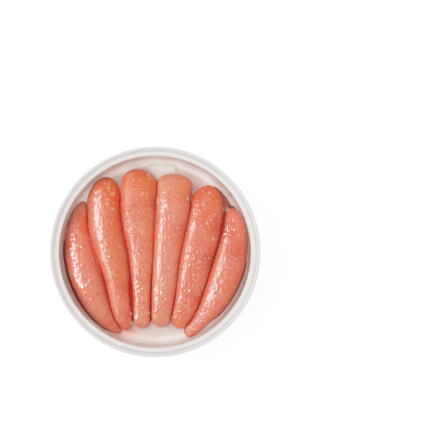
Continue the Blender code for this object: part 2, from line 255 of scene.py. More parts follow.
def moulded_polypropylene():
    """White polypropylene as it leaves the mould: a satin white into which light goes some millimetres, with
    a slight orange peel, and flow marks, tens of millimetres long, that change its white and its gloss a
    little. Beside the roe it is tinted pink to red, partly a juice stain and partly painted red light bounced
    from the roe into the shade there, and a faint tint lies over the rest of the inside. The boss is painted
    a purer white than the rest, a painted light for its raised top."""
    made, tree, output = new_material("moulded_white_polypropylene")
    place = add(tree, "ShaderNodeTexCoord", {}).outputs["Object"]
    flow = add(tree, "ShaderNodeTexNoise", {"Vector": place, "Scale": 1.0 / (35.0 * MM), "Detail": 3.0})
    peel = add(tree, "ShaderNodeTexNoise", {"Vector": place, "Scale": 1.0 / (1.6 * MM), "Detail": 2.0})
    white = add(tree, "ShaderNodeMix", {0: flow.outputs["Fac"], 6: linear("EAE5E3"), 7: linear("E4DEDC")},
                data_type="RGBA")
    # Painted light: the boss is painted a purer white than the same plastic elsewhere, for the light its
    # raised top catches.
    boss_painted_light = add(tree, "ShaderNodeAttribute", {}, attribute_name="boss_painted_light").outputs["Fac"]
    white = add(tree, "ShaderNodeMix", {0: boss_painted_light, 6: white.outputs[2], 7: linear("F9F7F1")}, data_type="RGBA")
    # The tint beside the roe is partly juice stain and partly painted red bounce light; the light pink stop
    # at 0.5 lifts the shaded gaps.
    film = add(tree, "ShaderNodeAttribute", {}, attribute_name="film").outputs["Fac"]
    tint_and_red_bounce = add(tree, "ShaderNodeValToRGB", {"Fac": film})
    stops = tint_and_red_bounce.color_ramp.elements
    stops[0].color, stops[1].color = linear("FFFFFF"), linear("E05444")
    stops.new(0.2).color = linear("E2DDDC")
    stops.new(0.5).color = linear("FAB6A6")
    tinted = add(tree, "ShaderNodeMix", {0: 1.0, 6: white.outputs[2], 7: tint_and_red_bounce.outputs["Color"]},
                 data_type="RGBA", blend_type="MULTIPLY")
    gloss = add(tree, "ShaderNodeMapRange", {"Value": flow.outputs["Fac"], "From Min": 0.3, "From Max": 0.7,
                                             "To Min": 0.30, "To Max": 0.40})
    bump = add(tree, "ShaderNodeBump", {"Height": peel.outputs["Fac"], "Strength": 0.12,
                                        "Distance": 0.05 * MM})
    shader = add(tree, "ShaderNodeBsdfPrincipled", {
        "Base Color": tinted.outputs[2], "Roughness": gloss.outputs["Result"], "IOR": 1.49,
        "Subsurface Weight": 0.85, "Subsurface Radius": (1.0, 0.85, 0.8), "Subsurface Scale": 5.0 * MM,
        "Normal": bump.outputs["Normal"]})
    tree.links.new(shader.outputs["BSDF"], output.inputs["Surface"])
    return made


tub = make_tub()
tub.data.materials.append(moulded_polypropylene())
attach(tub, "root")
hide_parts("tub")


# Roe sacs: six ovary sacs of pollock, salted and steeped in seasoning. Each is a thin clear membrane full of
# fine eggs that show through it, wet with seasoning, and soft enough to settle flat on the floor, to take
# the shape of the boss and to lie against its neighbours. Laid by hand with the thick ends to the boss.
HEIGHT_TO_WIDTH = 0.88
SETTLE = 0.10
UNDERSIDE_POWER = 3.0
REST_GAP = 0.4
DOME_LENGTHS = (30.0, 26.0)
LONGEST_DOME = 0.45
TIP_DROOP = 0.2
TOUCH_GAP = 0.15
TOUCH_REACH = (1.5, 4.0)
TOUCH_BLEND_STEPS = 41
WIDEST_HEIGHT = 10.0
CURVE_STEPS = 301
LIFT_FADES_AT = 0.35
SAC_RINGS = 400
SAC_SIDES = (172, 66)
# Broad lumps as (size, relief), and the reliefs of single eggs, blisters and the puckers at the thin end.
BROAD_LUMPS = ((19.0, 0.40), (7.5, 0.13))
SPECK_RELIEF = 0.16
BLISTER_RELIEF = 0.40
PUCKER_RELIEF = 0.16
PUCKER_FOLDS = 9.0
# The eggs are about 1 mm across, too fine to show from 1.6 m, so the grain is drawn about twice as coarse.
GRAIN_SPACING = 1.9
GRAIN_RELIEF = 0.15
CRUMPLE_SPACING = 1.6
CRUMPLE_RELIEF = 0.18
SPECK_SPACING = 2.9
# A station is (x, y, half width), five to a sac, evenly spaced from the thick end's tip to the thin end's.
# caps are the lengths over which the two ends round off, shoulder is the power of the upper outline (2 is an
# ellipse, more is flatter), and lift raises the thick end over the boss. flush is how much redder the whole
# sac is. The zones of deeper red are given as (x, y, radius, share); they are mostly painted shade, on the
# sides and creases turned from the key light and on roe_5's thick end. blush lists other coloured zones as
# (x, y, radius, orange, tan); its tan zone at roe_1's thick end is painted light. dry those where the wet
# film is thin as (x, y, radius, share), and blisters the pale raised dots as (x, y, radius).
SACS = {
    "roe_1": dict(
        stations=((-62.2, 43.2, 8.2), (-67.8, 10.6, 11.0), (-61.0, -20.6, 13.2), (-49.6, -49.6, 9.6),
                  (-30.4, -70.0, 5.0)),
        caps=(24.0, 20.0), shoulder=2.5, lift=0.0, flush=0.0,
        # The tan zone at (-63, 40) is painted light on the thick end's shaded tip.
        blush=((-56.0, 26.0, 11.0, 0.9, -0.2), (-63.0, 40.0, 9.0, 0.0, 0.9), (-45.0, -52.0, 12.0, 0.5, 0.5),
               (-33.0, -68.0, 9.0, 0.8, 0.3)),
        red=((-56.0, 22.0, 8.0, 0.5), (-50.0, -8.0, 8.0, 0.15), (-78.0, 4.0, 8.0, 0.4)),
        dry=((-66.0, 38.0, 12.0, 0.6),), blisters=(),
    ),
    "roe_2": dict(
        stations=((-37.0, 62.4, 16.2), (-45.2, 29.8, 13.8), (-38.6, -2.4, 13.0), (-32.8, -35.6, 9.4),
                  (-23.8, -68.0, 8.8)),
        caps=(20.0, 19.4), shoulder=2.3, lift=0.0, flush=0.0,
        blush=((-38.0, 50.0, 22.0, 0.9, 0.0), (-35.0, 10.0, 17.0, 0.8, 0.0), (-32.0, -14.0, 13.0, 1.0, 0.0),
               (-25.0, -64.0, 10.0, 0.5, 0.4)),
        red=((-30.0, 44.0, 6.0, 0.35), (-26.0, 20.0, 6.0, 0.3), (-27.0, -30.0, 8.0, 0.3),
             (-26.0, -58.0, 12.0, 0.25)),
        dry=((-44.0, 58.0, 12.0, 0.85), (-37.0, -38.0, 12.0, 0.8), (-30.0, -60.0, 12.0, 0.6)),
        blisters=((-36.6, 49.5, 2.2), (-36.6, 36.5, 2.1), (-40.1, 54.7, 1.7), (-43.5, 58.6, 1.2),
                  (-39.6, 58.6, 1.2), (-43.5, 49.5, 1.2), (-38.8, 60.5, 1.0), (-53.0, 52.0, 1.2),
                  (-40.4, 44.6, 1.2), (-35.8, 53.5, 1.1), (-40.6, 40.8, 1.2)),
    ),
    "roe_3": dict(
        stations=((-12.0, 70.6, 15.2), (-15.2, 35.4, 14.4), (-13.4, 2.2, 10.8), (-12.8, -33.2, 7.4),
                  (-11.2, -66.8, 6.4)),
        caps=(11.6, 7.0), shoulder=3.1, lift=1.5, flush=0.0,
        blush=((-12.0, 64.0, 15.0, 1.2, -0.1), (-26.0, 40.0, 13.0, 0.1, 0.3), (-12.0, -62.0, 9.0, 0.4, 0.8)),
        red=((-1.0, 42.0, 6.0, 0.4), (-24.0, 4.0, 6.0, 0.3), (-22.0, 40.0, 12.0, 0.35)),
        dry=((-22.0, 55.0, 17.0, 1.0), (-19.0, 40.0, 10.0, 0.5), (-22.0, 26.0, 12.0, 0.35),
             (-17.0, -40.0, 14.0, 0.4)),
        blisters=((-18.8, 62.1, 1.5), (-24.9, 51.9, 1.5), (-6.7, 66.0, 1.8), (-4.9, 63.0, 1.4),
                  (-11.0, 49.5, 1.4), (-12.5, 61.5, 1.1), (-17.4, 54.0, 1.2), (-14.0, 33.5, 1.2)),
    ),
    "roe_4": dict(
        stations=((17.6, 66.8, 14.6), (13.8, 33.0, 14.2), (10.2, 0.6, 11.8), (6.8, -33.6, 9.6),
                  (3.6, -65.6, 6.8)),
        caps=(8.0, 7.0), shoulder=3.1, lift=1.5, flush=0.0,
        blush=((8.0, 58.0, 13.0, 0.3, 0.6), (25.0, 60.0, 9.0, 0.5, 0.0), (9.0, -20.0, 24.0, 0.2, 0.7),
               (5.0, -61.0, 10.0, 0.5, 0.9)),
        red=((22.0, 18.0, 8.0, 0.3), (20.0, -8.0, 6.0, 0.3)),
        dry=((8.0, 54.0, 14.0, 0.8), (4.0, 8.0, 26.0, 0.45)),
        blisters=((25.0, 61.0, 1.0), (18.6, 20.4, 1.2)),
    ),
    "roe_5": dict(
        stations=((41.2, 56.4, 13.8), (42.4, 24.6, 13.8), (35.2, -5.8, 13.4), (28.6, -36.6, 10.6),
                  (16.0, -65.2, 7.0)),
        caps=(13.6, 7.0), shoulder=3.5, lift=0.0, flush=0.16,
        blush=((44.0, 50.0, 17.0, 1.2, 0.1), (30.0, -18.0, 12.0, 0.6, 0.1), (20.0, -58.0, 12.0, 0.8, 0.0)),
        red=((52.0, 22.0, 7.0, 0.5), (46.0, -6.0, 8.0, 0.5), (36.0, -40.0, 8.0, 0.3),
             (44.0, 55.0, 9.0, 0.25)),
        dry=((36.0, 46.0, 13.0, 0.9), (32.0, 2.0, 22.0, 0.4)),
        blisters=((47.0, 51.0, 1.3), (40.8, 41.6, 1.0)),
    ),
    "roe_6": dict(
        stations=((63.4, 37.6, 10.2), (67.2, 7.4, 12.0), (59.6, -23.2, 13.4), (45.8, -50.4, 9.2),
                  (25.2, -72.4, 5.6)),
        caps=(24.0, 7.0), shoulder=2.7, lift=0.0, flush=0.1,
        blush=((62.0, -25.0, 12.0, 0.4, 0.2), (50.0, -48.0, 12.0, 0.5, 0.2), (27.0, -70.0, 9.0, 0.7, 0.4)),
        red=((60.0, 18.0, 8.0, 0.6), (74.0, 0.0, 9.0, 0.35), (58.0, 0.0, 7.0, 0.3),
             (32.0, -62.0, 14.0, 0.25)),
        dry=((60.0, 35.0, 8.0, 0.7), (30.0, -68.0, 12.0, 0.5)),
        blisters=((67.6, 27.6, 1.3), (66.0, 20.0, 1.2), (68.0, 19.0, 1.0)),
    ),
}


def through(values, t):
    """The polynomial of least degree that meets values spaced evenly from 0 to 1, read at t."""
    return np.polyval(np.polyfit(np.linspace(0.0, 1.0, len(values)), values, len(values) - 1), t)


def slope_of(values, t):
    """The rate of change of that polynomial at t."""
    fitted = np.polyfit(np.linspace(0.0, 1.0, len(values)), values, len(values) - 1)
    return np.polyval(np.polyder(fitted), t)


def signed_power(value, power):
    """The size of a value raised to a power, with the value's sign."""
    return np.sign(value) * np.abs(value) ** power


def even_steps(x, y, at, count):
    """Values of the parameter `at` which cut the curve (x, y) into pieces of equal length."""
    run = np.concatenate([[0.0], np.cumsum(np.hypot(np.diff(x), np.diff(y)))])
    return np.interp(np.linspace(0.0, run[-1], count), run, at)


def fade(value, start, end):
    """0 before start, 1 after end, and 3u² - 2u³ of the way between them."""
    u = np.clip((value - start) / (end - start), 0.0, 1.0)
    return u * u * (3.0 - 2.0 * u)


def centre_length(spec):
    """The length of a sac's centre line, as the sum of short steps."""
    x_at, y_at, _ = zip(*spec["stations"])
    t = np.linspace(0.0, 1.0, CURVE_STEPS)
    return np.hypot(np.diff(through(x_at, t)), np.diff(through(y_at, t))).sum()


def end_share(t, length, caps):
    """The share of the full size that is left near the ends: over each cap it follows a quarter ellipse."""
    share = np.ones_like(t)
    for distance, cap in zip((t * length, (1.0 - t) * length), caps):
        share = share * np.sqrt(1.0 - np.clip(1.0 - distance / cap, 0.0, 1.0) ** 2)
    return share


def plan_of(spec, t):
    """A sac in plan at places t from 0 to 1 along it, thick end to thin end: the points of its centre line,
    the unit vectors across it, which point towards +X, and its half widths."""
    x_at, y_at, half_at = zip(*spec["stations"])
    centre = np.stack([through(x_at, t), through(y_at, t)], axis=1)
    across = np.stack([-slope_of(y_at, t), slope_of(x_at, t)], axis=1)
    across /= np.linalg.norm(across, axis=1, keepdims=True)
    return centre, across, through(half_at, t) * end_share(t, centre_length(spec), spec["caps"])


def heights_of(spec, t):
    """A sac's heights at places t: where it is widest, and how far it goes above and below that. The top
    comes down at both ends over longer stretches than the plan does, and the tips droop a little."""
    length = centre_length(spec)
    height = through([station[2] for station in spec["stations"]], t) * HEIGHT_TO_WIDTH
    dome = end_share(t, length, np.minimum(DOME_LENGTHS, LONGEST_DOME * length))
    rest = FLOOR + REST_GAP + height * (1.0 - SETTLE) * (1.0 - TIP_DROOP * (1.0 - dome))
    rest = rest + spec["lift"] * np.clip(1.0 - t / LIFT_FADES_AT, 0.0, 1.0)
    return rest, height * dome, plan_of(spec, t)[2] * HEIGHT_TO_WIDTH


def gap_to(spec, t, side, neighbour):
    """The gap in plan between a side of a sac (1 right, -1 left) and its neighbour, at places t: the least
    distance to a point of the neighbour's centre line less the half width there. Without a neighbour, it
    is the gap to the wall at the height where a sac is widest."""
    centre, across, half = plan_of(spec, t)
    edge = centre + side * half[:, None] * across
    if neighbour is None:
        return wall_radius(WIDEST_HEIGHT) - np.hypot(edge[:, 0], edge[:, 1])
    other, _, other_half = plan_of(neighbour, np.linspace(0.0, 1.0, CURVE_STEPS))
    return (np.linalg.norm(edge[:, None] - other[None], axis=2) - other_half).min(axis=1)


def swelling(spec, t, side, neighbour):
    """How far a side swells to lie against its neighbour: half the gap between them less the touching gap,
    fading out where they are too far apart, and evened out along the sac by a bell-shaped window."""
    if neighbour is None:
        return np.zeros_like(t)
    even = np.linspace(0.0, 1.0, CURVE_STEPS)
    gap = gap_to(spec, even, side, neighbour)
    closeness = 1.0 - fade(gap, *TOUCH_REACH)
    window = np.hanning(TOUCH_BLEND_STEPS)
    evened = np.convolve(0.5 * (gap - TOUCH_GAP) * closeness, window / window.sum(), mode="same")
    return np.interp(t, even, evened)


def cell_numbers(cells, seed):
    """A repeatable number from 0 to 1 for each cell of three whole numbers: they are multiplied by large
    odd numbers and joined, and the high bits are folded down three times."""
    keys = cells.astype(np.int64).astype(np.uint32)
    mixed = keys[..., 0] * np.uint32(0x8DA6B343) ^ keys[..., 1] * np.uint32(0xD8163841)
    mixed = mixed ^ keys[..., 2] * np.uint32(0xCB1AB31F) ^ np.uint32((seed * 0x9E3779B9) & 0xFFFFFFFF)
    mixed = (mixed ^ mixed >> np.uint32(15)) * np.uint32(0x2C1B3C6D)
    mixed = (mixed ^ mixed >> np.uint32(12)) * np.uint32(0x297A2D39)
    return (mixed ^ mixed >> np.uint32(15)) / 4294967296.0


def lumps(points, size, seed):
    """Smooth noise from -1 to 1 with lumps `size` apart: numbers at the corners of cubic cells, blended
    along each axis by 3u² - 2u³."""
    cells = np.floor(points / size)
    u = points / size - cells
    u = u * u * (3.0 - 2.0 * u)
    total = np.zeros(points.shape[:-1])
    for corner in np.ndindex(2, 2, 2):
        weight = np.prod(np.where(corner, u, 1.0 - u), axis=-1)
        total += weight * cell_numbers(cells + corner, seed)
    return 2.0 * total - 1.0


def nearest_egg(points, spacing, seed):
    """The distance to the nearest egg, in spacings, and that egg's own number. Every cubic cell holds one
    egg at a random place in it, and the 27 cells round a point are searched."""
    scaled = points / spacing
    cells = np.floor(scaled)
    best = np.full(points.shape[:-1], 9.0)
    number = np.zeros(points.shape[:-1])
    for offset in np.ndindex(3, 3, 3):
        cell = cells + np.array(offset) - 1.0
        centre = cell + np.stack([cell_numbers(cell, seed + k) for k in range(3)], axis=-1)
        distance = np.sqrt(((scaled - centre) ** 2).sum(axis=-1))
        closer = distance < best
        best = np.where(closer, distance, best)
        number = np.where(closer, cell_numbers(cell, seed + 3), number)
    return best, number


def outward(grid):
    """Unit normals of a grid of rings: the cross product of the steps round it and along it."""
    along = np.gradient(grid, axis=0)
    round_it = 0.5 * (np.roll(grid, -1, axis=1) - np.roll(grid, 1, axis=1))
    normal = np.cross(round_it, along)
    return normal / np.maximum(np.linalg.norm(normal, axis=-1, keepdims=True), 1e-9)


def sac_form(spec, rings, sides, left=None, right=None):
    """The plain form of a sac: rings of points, each point's place along the sac from 0 to 1, and its
    height round the ring from -1 to 1.

    The centre line and the half width are smooth curves through the stations, and the ends are rounded off.
    A ring is one superellipse above and another below, deep enough for its foot to be settled flat, and each
    of its two sides swells towards its neighbour. Rings and sides are spaced evenly over the surface, closer
    on the upper half, which shows.
    """
    fine = 0.5 - 0.5 * np.cos(np.linspace(0.0, math.pi, 2001))
    size = heights_of(spec, fine)[1] + plan_of(spec, fine)[2]
    t = even_steps(fine * centre_length(spec), size, fine, rings)
    centre, across, half = plan_of(spec, t)

    turns = []
    for start, power, count in ((0.0, spec["shoulder"], sides[0]), (math.pi, UNDERSIDE_POWER, sides[1])):
        angle = start + np.linspace(0.0, math.pi, 721)
        out = signed_power(np.cos(angle), 2.0 / power)
        up = HEIGHT_TO_WIDTH * signed_power(np.sin(angle), 2.0 / power)
        turn = even_steps(out, up, angle, count + 1)[:-1]
        turns.append([signed_power(np.cos(turn), 2.0 / power), signed_power(np.sin(turn), 2.0 / power)])
    out, up = np.concatenate(turns, axis=1)[:, None, :]

    swell = np.where(out > 0.0, swelling(spec, t, 1, right)[:, None], swelling(spec, t, -1, left)[:, None])
    reach = (half[:, None] + swell) * out
    plan = centre[:, None, :] + reach[..., None] * across[:, None, :]
    rest, above, below = heights_of(spec, t)
    z = rest[:, None] + np.where(up > 0.0, above[:, None], below[:, None]) * up
    grid = np.concatenate([plan, z[..., None]], axis=2)
    return grid, np.broadcast_to(t[:, None], z.shape), np.broadcast_to(up, z.shape)


def settle(grid, blend):
    """Keeps a form off the floor, the boss and the wall, with the change-over rounded: its height is at
    least the floor's plus the gap, and its plan radius at most the wall's less the gap."""
    x, y, z = grid[..., 0], grid[..., 1], grid[..., 2]
    z = soft_greater(z, floor_height(x, y) + REST_GAP, blend)
    reach = np.maximum(np.hypot(x, y), 1.0)
    inside = -soft_greater(-reach, REST_GAP - wall_radius(z), blend)
    return np.stack([x * inside / reach, y * inside / reach, z], axis=2)


def squared_distance(grid, x, y, radius):
    """The squared distance in plan from (x, y), over the squared radius."""
    return ((grid[..., 0] - x) ** 2 + (grid[..., 1] - y) ** 2) / radius**2


def bumps(grid, places, flat):
    """Round bumps at (x, y, radius): 1.3 times (1 - d²) and at most 1, where d is the distance in plan over
    the radius. `flat` says which points look up."""
    total = np.zeros(grid.shape[:2])
    for place in places:
        height = np.clip(1.3 - 1.3 * squared_distance(grid, *place), 0.0, 1.0)
        total = np.maximum(total, np.where(flat, height, 0.0))
    return total


def zones(grid, places):
    """The sum of soft round zones (x, y, radius, share): the share times exp(-d²), with d as above."""
    total = np.zeros(grid.shape[:2])
    for *place, share in places:
        total += share * np.exp(-squared_distance(grid, *place))
    return total


def close_ends(grid):
    """Draws the first and the last ring of a grid together, each to its mean point."""
    grid[0], grid[-1] = grid[0].mean(axis=0), grid[-1].mean(axis=0)


def keep_masks(piece, masks):
    """Stores masks, one value for each point of a skin's grid, as attributes of the piece."""
    for mask, values in masks.items():
        kept = np.concatenate([values[0, :1], values[1:-1].ravel(), values[-1, :1]]).astype(np.float32)
        piece.data.attributes.new(mask, "FLOAT", "POINT").data.foreach_set("value", kept)


def make_sac(name, spec, seed, left, right):
    """One roe sac. Its form gets broad lumps, puckers where the thin end is drawn together, crumples of the
    membrane across it, a grain of eggs, single raised ones, and blisters. Masks for the material are kept:
    among them painted shade low on the sides, and pale specks that are partly painted glints."""
    grid, t, up = sac_form(spec, SAC_RINGS, SAC_SIDES, left, right)
    place = grid + 40.0 * seed
    normal = outward(grid)
    upper = fade(up, -0.15, 0.45)
    (size, share), (fine_size, fine_share) = BROAD_LUMPS
    broad = share * lumps(place, size, seed) + fine_share * lumps(place, fine_size, seed + 5)
    crumple = 1.0 - 2.0 * np.abs(lumps(place * (0.45, 1.0, 0.45), CRUMPLE_SPACING, seed + 8))
    crumpled = 0.65 + 0.35 * fade(lumps(place, 14.0, seed + 31), -0.4, 0.4)
    distance, number = nearest_egg(place, GRAIN_SPACING, seed + 11)
    grain = fade(-distance, -0.85, -0.10) * (0.5 + number)
    speck_distance, speck_number = nearest_egg(place, SPECK_SPACING, seed + 51)
    speck = fade(-speck_distance, -0.36, -0.16) * (0.15 + 0.85 * speck_number**1.5)
    blister = bumps(grid, spec["blisters"], up > 0.3)
    pucker = np.sin(PUCKER_FOLDS * np.arctan2(up, lumps(place, 9.0, seed + 7)))
    pucker = PUCKER_RELIEF * fade(t, 0.93, 1.0) * pucker
    rough = 0.35 + 0.65 * fade(t, 0.03, 0.12)
    relief = upper * (broad + CRUMPLE_RELIEF * crumple * crumpled * rough)
    relief = relief + GRAIN_RELIEF * (grain - 0.5) * rough
    relief = relief + SPECK_RELIEF * speck + BLISTER_RELIEF * blister + pucker
    ends = np.minimum(fade(t, 0.0, 0.004), fade(1.0 - t, 0.0, 0.004))
    grid = settle(grid + normal * (relief * ends)[..., None], 0.5)
    close_ends(grid)
    sac = skin(f"{name}_sac", grid)

    orange = 0.30 + 0.28 * lumps(place, 13.0, seed + 21) + 0.25 * lumps(place, 4.5, seed + 22)
    tan = 0.22 + 0.30 * lumps(place, 11.0, seed + 23) + 0.18 * lumps(place, 3.5, seed + 24)
    for *blush, more_orange, more_tan in spec["blush"]:
        near = np.exp(-squared_distance(grid, *blush))
        orange, tan = orange + more_orange * near, tan + more_tan * near
    # Painted shade: the sides are painted a deeper red downwards, less so near the thick end's tip.
    side_red = (1.0 - fade(up, -0.1, 0.9)) * (0.3 + 0.7 * fade(t, 0.04, 0.22))
    keep_masks(sac, {
        "orange": np.clip(orange, 0.0, 1.0),
        "tan": np.clip(tan, 0.0, 1.0),
        # Pale specks: partly pale single eggs, partly painted glints of the wet eggs; blisters are pale dots.
        "pale": np.clip(np.maximum(0.75 * speck, 0.55 * blister), 0.0, 1.0),
        # low: the painted side shade, the sac's own flush, and the zones of deeper red, mostly painted shade.
        "low": np.clip(side_red + spec["flush"] + zones(grid, spec["red"]), 0.0, 1.0),
        "dry": np.clip(zones(grid, spec["dry"]), 0.0, 1.0),
    })
    return sac


def wet_roe(name, salmon, orange, tan, low):
    """Roe under a wet membrane. Light goes a few millimetres into the eggs and comes back red, so it is
    soft and deep where it is shaded; the seasoning on it is a thin clear coat, thinner in dry places. Salmon
    pink, with orange and tan zones, pale specks that are partly pale single eggs and partly painted glints,
    and a deeper red low on the sides and in zones, which is painted shade."""
    made, tree, output = new_material(name)
    place = add(tree, "ShaderNodeTexCoord", {}).outputs["Object"]
    masks = {mask: add(tree, "ShaderNodeAttribute", {}, attribute_name=mask).outputs["Fac"]
             for mask in ("orange", "tan", "pale", "low", "dry")}
    mottle = add(tree, "ShaderNodeTexNoise", {"Vector": place, "Scale": 1.0 / (2.0 * MM), "Detail": 2.0})
    deeper = add(tree, "ShaderNodeMapRange", {"Value": mottle.outputs["Fac"], "From Min": 0.35,
                                              "From Max": 0.70, "To Min": 0.0, "To Max": 0.30})
    colour = add(tree, "ShaderNodeMix", {0: masks["orange"], 6: linear(salmon), 7: linear(orange)},
                 data_type="RGBA").outputs[2]
    # The low colour paints shade on the sides; the pale colour paints glints as well as pale eggs.
    for share, other in ((masks["tan"], tan), (deeper.outputs["Result"], low), (masks["low"], low),
                         (masks["pale"], "FFCCB4")):
        colour = add(tree, "ShaderNodeMix", {0: share, 6: colour, 7: linear(other)},
                     data_type="RGBA").outputs[2]
    eggs = add(tree, "ShaderNodeTexVoronoi", {"Vector": place, "Scale": 1.0 / (1.0 * MM)},
               feature="SMOOTH_F1")
    bump = add(tree, "ShaderNodeBump", {"Height": eggs.outputs["Distance"], "Strength": 0.3,
                                        "Distance": 0.1 * MM}, invert=True)
    # The wet film dips between the eggs, drawn coarser than it is so that it roughens the highlights.
    dips = add(tree, "ShaderNodeTexVoronoi", {"Vector": place, "Scale": 1.0 / (2.0 * MM)},
               feature="SMOOTH_F1")
    film = add(tree, "ShaderNodeBump", {"Height": dips.outputs["Distance"], "Strength": 0.7,
                                        "Distance": 0.4 * MM, "Normal": bump.outputs["Normal"]}, invert=True)
    patches = add(tree, "ShaderNodeTexNoise", {"Vector": place, "Scale": 1.0 / (3.0 * MM), "Detail": 2.0})
    thickness = add(tree, "ShaderNodeMapRange", {"Value": patches.outputs["Fac"], "From Min": 0.38,
                                                 "From Max": 0.55, "To Min": 0.55, "To Max": 1.0})
    wet = add(tree, "ShaderNodeMath", {0: thickness.outputs["Result"], 1: masks["dry"]},
              operation="SUBTRACT", use_clamp=True)
    shader = add(tree, "ShaderNodeBsdfPrincipled", {
        "Base Color": colour, "Roughness": 0.45, "IOR": 1.38,
        "Subsurface Weight": 0.85, "Subsurface Radius": (1.0, 0.32, 0.18), "Subsurface Scale": 2.6 * MM,
        "Coat Weight": wet.outputs["Value"], "Coat Roughness": 0.07, "Coat IOR": 1.42,
        "Normal": bump.outputs["Normal"], "Coat Normal": film.outputs["Normal"]})
    tree.links.new(shader.outputs["BSDF"], output.inputs["Surface"])
    return made


names = list(SACS)
roe_finish = wet_roe("wet_cod_roe", salmon="FF967B", orange="FF8048", tan="F4A98B", low="DC4836")
for number, name in enumerate(names, start=1):
    left_one = SACS[names[number - 2]] if number > 1 else None
    right_one = SACS[names[number]] if number < len(names) else None
    sac = make_sac(name, SACS[name], number, left_one, right_one)
    sac.data.materials.append(roe_finish)
    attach(sac, "root")
    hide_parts(name)


# Lobe: the end of one more sac, low between the fifth and the sixth beside the wall. It is the same roe,
# with its colours painted darker as painted shade, for it lies low in their shade, and they leave their shape
# in it.
LOBE_RADIUS = 71.0
LOBE_ANGLES = (math.radians(51.0), math.radians(27.0))
LOBE_HALF_WIDTHS = (4.5, 5.4, 5.8, 5.4, 4.5)
LOBE_CAPS = (6.0, 6.0)
LOBE_SHOULDER = 2.2
LOBE_RINGS = 110
LOBE_SIDES = (80, 30)
LOBE_CLEARANCE = 0.5


def push_aside(grid, spec, clearance):
    """Moves a form's points out of a neighbouring sac. At a point's height the sac reaches its half width
    times (1 - |u|^n)^(1/n), where u is the height from its middle over its half height; a point closer to
    the centre line than that plus the clearance goes straight away from it to there."""
    t = np.linspace(0.0, 1.0, CURVE_STEPS)
    centre, _, half = plan_of(spec, t)
    flat = grid[..., :2].reshape(-1, 2)
    distance = np.linalg.norm(flat[:, None] - centre[None], axis=2)
    nearest = distance.argmin(axis=1)
    rest, above, below = (heights[nearest] for heights in heights_of(spec, t))
    over = grid[..., 2].reshape(-1) - rest
    u = over / np.maximum(np.where(over > 0.0, above, below), 0.1)
    power = np.where(u > 0.0, spec["shoulder"], UNDERSIDE_POWER)
    reach = half[nearest] * np.clip(1.0 - np.abs(u) ** power, 0.0, 1.0) ** (1.0 / power) + clearance
    away = distance[np.arange(len(flat)), nearest]
    further = soft_greater(away, reach, 0.3) / np.maximum(away, 0.1)
    moved = centre[nearest] + (flat - centre[nearest]) * further[:, None]
    return np.concatenate([moved.reshape(grid.shape[:2] + (2,)), grid[..., 2:]], axis=2)


def make_lobe():
    """A short sac along the wall, pushed aside by its two neighbours and then settled."""
    angles = np.linspace(LOBE_ANGLES[0], LOBE_ANGLES[1], len(LOBE_HALF_WIDTHS))
    stations = [(LOBE_RADIUS * math.cos(a), LOBE_RADIUS * math.sin(a), half)
                for a, half in zip(angles, LOBE_HALF_WIDTHS)]
    spec = dict(stations=stations, caps=LOBE_CAPS, shoulder=LOBE_SHOULDER, lift=0.0)
    grid, t, up = sac_form(spec, LOBE_RINGS, LOBE_SIDES)
    for name in ("roe_5", "roe_6"):
        grid = push_aside(grid, SACS[name], LOBE_CLEARANCE)
    normal = outward(grid)
    distance, _ = nearest_egg(grid, GRAIN_SPACING, 91)
    relief = GRAIN_RELIEF * (fade(-distance, -0.85, -0.10) - 0.5)
    relief = relief + 0.2 * fade(up, 0.0, 0.5) * lumps(grid, 6.0, 92)
    grid = settle(grid + normal * (relief * fade(t, 0.0, 0.02) * fade(1.0 - t, 0.0, 0.02))[..., None], 0.4)
    close_ends(grid)
    lobe = skin("roe_lobe_end", grid)
    # The lobe's sides are painted a deeper red, as painted shade.
    keep_masks(lobe, {"orange": 0.4 + 0.4 * lumps(grid, 7.0, 93), "tan": np.zeros_like(up),
                      "pale": np.zeros_like(up), "low": 1.0 - fade(up, -0.2, 0.6),
                      "dry": np.zeros_like(up)})
    return lobe


lobe = make_lobe()
# Painted shade: a darker copy of the roe's colours.
lobe.data.materials.append(wet_roe("wet_cod_roe_painted_shade", salmon="D68270", orange="CC6E56", tan="C89080",
                                   low="A83C30"))
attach(lobe, "root")
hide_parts("roe_lobe")


# Juice: red seasoning that has drained from the roe. It stays where two sacs meet and where the outer ones
# meet the wall, drawn up a little into each crease, and so thin elsewhere that the floor looks bare. Its deep
# red in the creases is partly the juice's own and partly painted shade, where the floor would show.
CREASE_STEPS = 120
CREASE_SIDES = 16
CREASE_HEIGHT = 1.3
CREASE_BITE = 0.9
CREASE_DROP = 1.2
CREASE_TAPER = 0.06
FILM_STEPS = 81
# The tint's strength beside the sacs, partly juice stain and partly painted red bounce light: what it is at
# their thick ends; how much more it gets along them, and from where to where in -y; how much less at their
# thin ends, likewise; what share less on the right, in x.
FILM_THICK_ENDS = 0.15
FILM_MORE = (0.65, -40.0, 0.0)
FILM_LESS = (0.50, 45.0, 62.0)
FILM_RIGHT = (0.35, 62.0, 74.0)
FILM_MOST = 0.9
FILM_REACH = 2.3
FILM_TOP = 28.0
FILM_REST = 0.19
FILM_SPOTS = ((-25.0, -71.0, 7.0, 0.16), (-33.0, -67.0, 6.0, 0.12))


